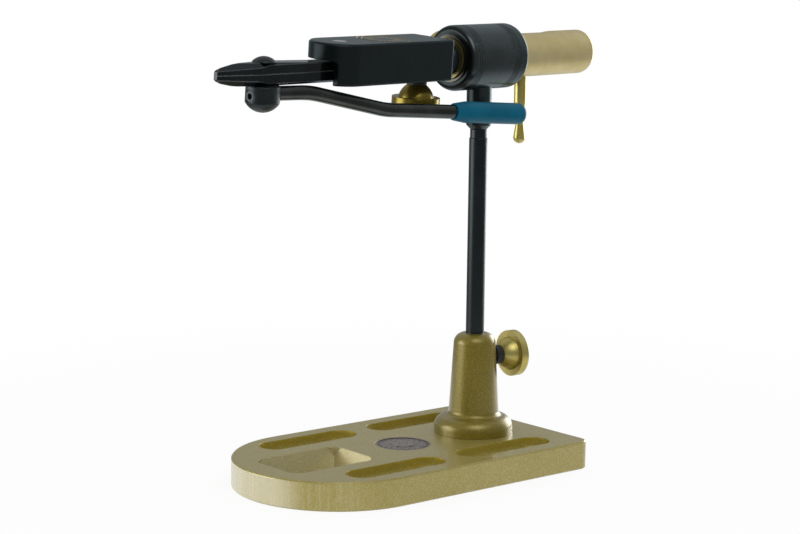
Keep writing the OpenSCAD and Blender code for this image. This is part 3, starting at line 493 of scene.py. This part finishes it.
def blackCoatFinish(name, piece):
    finish = Finish(name, metal=blackCoat["metal"], specular=blackCoat["specular"], tint=sheen)
    spot = finish.place()
    grain = finish.noise(spot, blackCoat["grainScale"], 2.0)
    clouds = finish.noise(spot, blackCoat["cloudScale"], 3.0)
    uneven = (grain - 0.5) * blackCoat["roughGrain"] + (clouds - 0.5) * blackCoat["roughClouds"]
    rim = finish.soft(piece["edgeRound"])
    normal = finish.bump(grain, blackCoat["grainDepth"], blackCoat["grainBump"], rim)
    tone = piece["tone"]
    if piece is barrel:
        tone = finish.mix(clouds.step(0.3, 0.7) * barrel["clouds"], tone, barrel["light"])
    # painted shade on the faces that look along the head
    endShare = finish.ends(*blackCoat["endFrom"]) * blackCoat["endShare"]
    tone = finish.mix(endShare, tone, blackCoat["end"])
    if piece is block:
        tone = finish.mix(gilding(finish) * block["goldShare"], tone, block["gold"])
    finish.set("colour", tone)
    finish.set("rough", piece["rough"] + uneven)
    finish.set("normal", normal)
    return finish


wear(blackCoatFinish("barrelCoat", barrel), ["spindle_housing"])
wear(blackCoatFinish("blockCoat", block), ["head_block"])

# the oxide black parts

oxide = {
    "specular": 0.5,
    "end": rgb(6, 10, 12),  # painted shade: faces that look along the head are painted darker
    "endShare": 0.6,
    "endFrom": (0.6, 0.9),
    "grainScale": 1800.0,
    "grainDepth": 0.010 * mm,
    "grainBump": 0.5,
    "cloudScale": 110.0,
    "roughGrain": 0.12,
    "roughClouds": 0.10,
    "edgeRound": 0.8 * mm,
    "edgeHighlight": rgb(150, 154, 156),  # painted highlight: sharp edges are painted bright, as a line of light along them
    "edgeHighlightRound": 0.6 * mm,
    "oilRough": 0.13,
    "oilIor": 1.7,
}

oxidePieces = {
    "jawOxide": {
        "tone": rgb(18, 26, 29),
        "light": rgb(30, 39, 43),
        "rough": 0.24,
        "metal": 0.9,
        "oil": 0.4,
        "edgeHighlight": 0.8,
        "nodes": ["jaw_lower", "jaw_upper"],
    },
    "rodOxide": {
        "tone": rgb(46, 50, 48),
        "light": rgb(64, 68, 65),
        "rough": 0.21,
        "metal": 0.9,
        "oil": 0.4,
        "nodes": ["lever_rod"],
    },
    "camOxide": {
        "tone": rgb(12, 17, 16),
        "light": rgb(20, 26, 24),
        "rough": 0.40,
        "nodes": ["cam_barrel"],
    },
    "screwOxide": {
        "tone": rgb(6, 10, 12),
        "light": rgb(13, 19, 23),
        "rough": 0.34,
        "nodes": ["clamp_bolt", "cam_set_screw", "sleeve_screw", "spindle_shaft"],
    },
    "stemOxide": {
        "tone": rgb(6, 10, 12),
        "light": rgb(13, 19, 23),
        "rough": 0.33,
        "nodes": ["stem_rod", "post_bolts"],
    },
}


def oxideFinish(name, piece):
    finish = Finish(name, specular=oxide["specular"], tint=sheen, metal=piece.get("metal", 0.0))
    spot = finish.place()
    grain = finish.noise(spot, oxide["grainScale"], 3.0)
    clouds = finish.noise(spot, oxide["cloudScale"], 4.0)
    uneven = (grain - 0.5) * oxide["roughGrain"] + (clouds - 0.5) * oxide["roughClouds"]
    rim = finish.soft(oxide["edgeRound"])
    tone = finish.mix(clouds.step(0.35, 0.75), piece["tone"], piece["light"])
    # painted shade on the faces that look along the head
    endShare = finish.ends(*oxide["endFrom"]) * oxide["endShare"]
    tone = finish.mix(endShare, tone, oxide["end"])
    # painted highlight along the jaws' sharp edges
    if "edgeHighlight" in piece:
        tone = finish.mix(finish.edges(oxide["edgeHighlightRound"]) * piece["edgeHighlight"], tone, oxide["edgeHighlight"])
    if "oil" in piece:
        finish.set("coat", piece["oil"])
        finish.set("coatRough", oxide["oilRough"])
        finish.set("coatIor", oxide["oilIor"])
    finish.set("colour", tone)
    finish.set("rough", piece["rough"] + uneven)
    finish.set("normal", finish.bump(grain, oxide["grainDepth"], oxide["grainBump"], rim))
    return finish


for name, piece in oxidePieces.items():
    wear(oxideFinish(name, piece), piece["nodes"])
print("black parts on")

# bright steel, the rubber rings and the vinyl grip: one grain, and tones that differ

grainPieces = {
    "bearingSteel": {
        "tones": (rgb(80, 78, 70), rgb(84, 82, 78)),
        "toneShare": 0.4,
        "toneFrom": (0.4, 0.8),
        "metal": 1.0,
        "rough": 0.30,
        "roughGrain": 0.1,
        "grainScale": 1200.0,
        "grainDepth": 0.006 * mm,
        "nodes": ["bearing_outer_rings", "bearing_inner_rings", "bearing_balls", "jaw_hinge_pin"],
    },
    "plugSteel": {
        "tones": (rgb(206, 200, 200), rgb(84, 82, 78)),
        "toneShare": 0.4,
        "toneFrom": (0.4, 0.8),
        "metal": 1.0,
        "rough": 0.40,
        "roughGrain": 0.1,
        "grainScale": 1200.0,
        "grainDepth": 0.006 * mm,
        "nodes": ["nose_plug"],
    },
    "ringRubber": {
        "tones": (rgb(26, 26, 26), rgb(40, 40, 40)),
        "toneShare": 1.0,
        "toneFrom": (0.3, 0.8),
        "specular": 0.4,
        "rough": 0.55,
        "roughGrain": 0.2,
        "grainScale": 2200.0,
        "grainDepth": 0.02 * mm,
        "nodes": ["stem_lock_ring", "spin_lock_ring", "angle_lock_ring"],
    },
    "gripVinyl": {
        "tones": (rgb(1, 76, 100), rgb(4, 90, 116)),
        "toneShare": 0.6,
        "toneFrom": (0.3, 0.75),
        "cloudScale": 80.0,  # its tones follow clouds, not the grain
        "specular": 0.3,
        "tint": (0.35, 0.85, 1.0, 1.0),
        "rough": 0.42,
        "roughGrain": 0.14,
        "grainScale": 1500.0,
        "grainDepth": 0.015 * mm,
        "nodes": ["lever_grip"],
    },
}


def grainFinish(name, piece):
    constants = {key: piece[key] for key in ("metal", "specular", "tint") if key in piece}
    finish = Finish(name, **constants)
    spot = finish.place()
    grain = finish.noise(spot, piece["grainScale"], 3.0)
    pattern = finish.noise(spot, piece["cloudScale"], 3.0) if "cloudScale" in piece else grain
    share = pattern.step(*piece["toneFrom"]) * piece["toneShare"]
    finish.set("colour", finish.mix(share, *piece["tones"]))
    finish.set("rough", piece["rough"] + (grain - 0.5) * piece["roughGrain"])
    finish.set("normal", finish.bump(grain, piece["grainDepth"], 0.5))
    return finish


for name, piece in grainPieces.items():
    wear(grainFinish(name, piece), piece["nodes"])
print("steel, rubber and vinyl on")

# camera

cameraView = {
    "place": (-0.75563, -0.84277, 0.28145),
    "yaw": math.radians(39.87),  # from +Y towards +X
    "pitch": math.radians(9.03),  # below the horizon
    "roll": 0.012767,  # tops lean right
    "lens": 98.72,
    "sensor": 36.0,
    "near": 0.01,
    "far": 50,
}


def makeCamera():
    view = cameraView
    level = math.cos(view["pitch"])
    ahead = Vector((math.sin(view["yaw"]) * level, math.cos(view["yaw"]) * level,
                    -math.sin(view["pitch"])))
    right = Vector((math.cos(view["yaw"]), -math.sin(view["yaw"]), 0))
    up = right.cross(ahead)
    rolledRight = math.cos(view["roll"]) * right + math.sin(view["roll"]) * up
    rolledUp = -math.sin(view["roll"]) * right + math.cos(view["roll"]) * up
    data = bpy.data.cameras.new("photoCamera")
    data.lens = view["lens"]
    data.sensor_width = view["sensor"]
    data.sensor_fit = "HORIZONTAL"
    data.clip_start = view["near"]
    data.clip_end = view["far"]
    camera = bpy.data.objects.new("photoCamera", data)
    bpy.context.scene.collection.objects.link(camera)
    axes = Matrix((rolledRight, rolledUp, -ahead)).transposed()
    camera.matrix_world = Matrix.Translation(view["place"]) @ axes.to_4x4()
    bpy.context.scene.camera = camera


makeCamera()
print("camera set")

# floor, background and lamps

studio = {
    "floorSize": 1.3,  # a white table top
    "floorTone": (0.85, 0.85, 0.85, 1.0),
    "floorRough": 0.9,
    "floorSpecular": 0.1,
    "floorWhite": 0.90,  # share of plain white that the camera sees in the floor
    "floorFade": (0.22, 0.50),  # it goes to full white between these distances
    "mirrorFade": (0.36, 0.18),  # the floor in polished parts goes from dim to white between these
    "mirrorFar": 0.22,  # how bright its dim part is
    "roomLight": 0.70,  # soft light from all round
    "roomDark": 0.22,  # what polished parts mirror of the room in front of the vise
    "roomTop": 0.26,  # what its ceiling adds
    "roomTopFrom": (0.15, 0.8),
    "walls": [
        # way from the vise, level, and how near to the way its light starts and is full
        ((0.64, 0.77, 0), 0.32, 0.30, 0.70),
        ((-0.85, 0.53, 0.05), 0.65, 0.84, 0.97),
        ((0.98, 0.17, 0.05), 0.95, 0.82, 0.93),  # the floor towards this last one is white too
    ],
    "lamps": [
        # name, place, size, watts: each looks at the vise's middle
        ("keyLamp", (-1.20, 0.72, 0.20), 1.0, 8.0),
        ("fillLamp", (1.33, 0.22, 0.25), 1.0, 9.0),
        ("topLamp", (-0.4, -0.8, 1.2), 1.0, 5.0),
    ],
    "aim": (-0.03, 0, 0.12),
}
white = (1, 1, 1, 1)


def makeFloor():
    half = studio["floorSize"] / 2
    mesh = bpy.data.meshes.new("floor")
    corners = [(-half, -half, 0), (half, -half, 0), (half, half, 0), (-half, half, 0)]
    mesh.from_pydata(corners, [], [(0, 1, 2, 3)])
    floor = bpy.data.objects.new("floor", mesh)
    bpy.context.scene.collection.objects.link(floor)
    finish = Finish("floorPaper", colour=studio["floorTone"], rough=studio["floorRough"],
                    specular=studio["floorSpecular"])
    mesh.materials.append(finish.material)
    spot = finish.place()
    away = finish.node("ShaderNodeVectorMath", {"operation": "LENGTH"}, {0: spot}, "Value")
    heading = finish.node("ShaderNodeVectorMath", {"operation": "NORMALIZE"}, {0: spot})
    camera = finish.node("ShaderNodeLightPath", out="Is Camera Ray")
    glossy = finish.node("ShaderNodeLightPath", out="Is Glossy Ray")
    seen = studio["floorWhite"] + away.step(*studio["floorFade"]) * (1 - studio["floorWhite"])
    wallWay, bright, start, full = studio["walls"][-1]
    near = away.step(*studio["mirrorFade"])
    lit = finish.math("MAXIMUM", near, finish.dot(heading, wallWay).step(start, full))
    mirrored = studio["mirrorFar"] + lit * (bright - studio["mirrorFar"])
    level = camera + glossy * mirrored
    glow = finish.node("ShaderNodeEmission", values={"Color": white, "Strength": level})
    paper = Wire(finish, finish.shader.outputs[0])
    share = camera * seen + glossy
    both = finish.node("ShaderNodeMixShader", values={0: share, 1: paper, 2: glow})
    finish.feed(finish.tree.nodes["Material Output"].inputs["Surface"], both)


class Room(Finish):
    # the world's own nodes, in the same sums as the finishes
    def __init__(self, name):
        self.world = bpy.data.worlds.new(name)
        self.world.use_nodes = True
        self.tree = self.world.node_tree


def makeRoom():
    room = Room("studioRoom")
    way = room.place()
    ceiling = room.axis(way, "Z").step(*studio["roomTopFrom"]) * studio["roomTop"]
    mirrored = studio["roomDark"] + ceiling
    for wallWay, bright, start, full in studio["walls"]:
        towards = room.dot(way, wallWay).step(start, full)
        mirrored = mirrored + towards * (bright - studio["roomDark"])
    camera = room.node("ShaderNodeLightPath", out="Is Camera Ray")
    glossy = room.node("ShaderNodeLightPath", out="Is Glossy Ray")
    level = camera + glossy * mirrored + (1 - camera) * (1 - glossy) * studio["roomLight"]
    background = room.tree.nodes["Background"]
    room.feed(background.inputs["Color"], white)
    room.feed(background.inputs["Strength"], level)
    bpy.context.scene.world = room.world


def makeLamps():
    aim = Vector(studio["aim"])
    for name, place, size, watts in studio["lamps"]:
        data = bpy.data.lights.new(name, "AREA")
        data.shape = "DISK"
        data.size = size
        data.energy = watts
        lamp = bpy.data.objects.new(name, data)
        lamp.visible_camera = False
        bpy.context.scene.collection.objects.link(lamp)
        lamp.location = place
        lamp.rotation_euler = (aim - Vector(place)).to_track_quat("-Z", "Y").to_euler()


makeFloor()
makeRoom()
makeLamps()
bpy.context.scene.view_settings.view_transform = "Standard"
print("studio up")
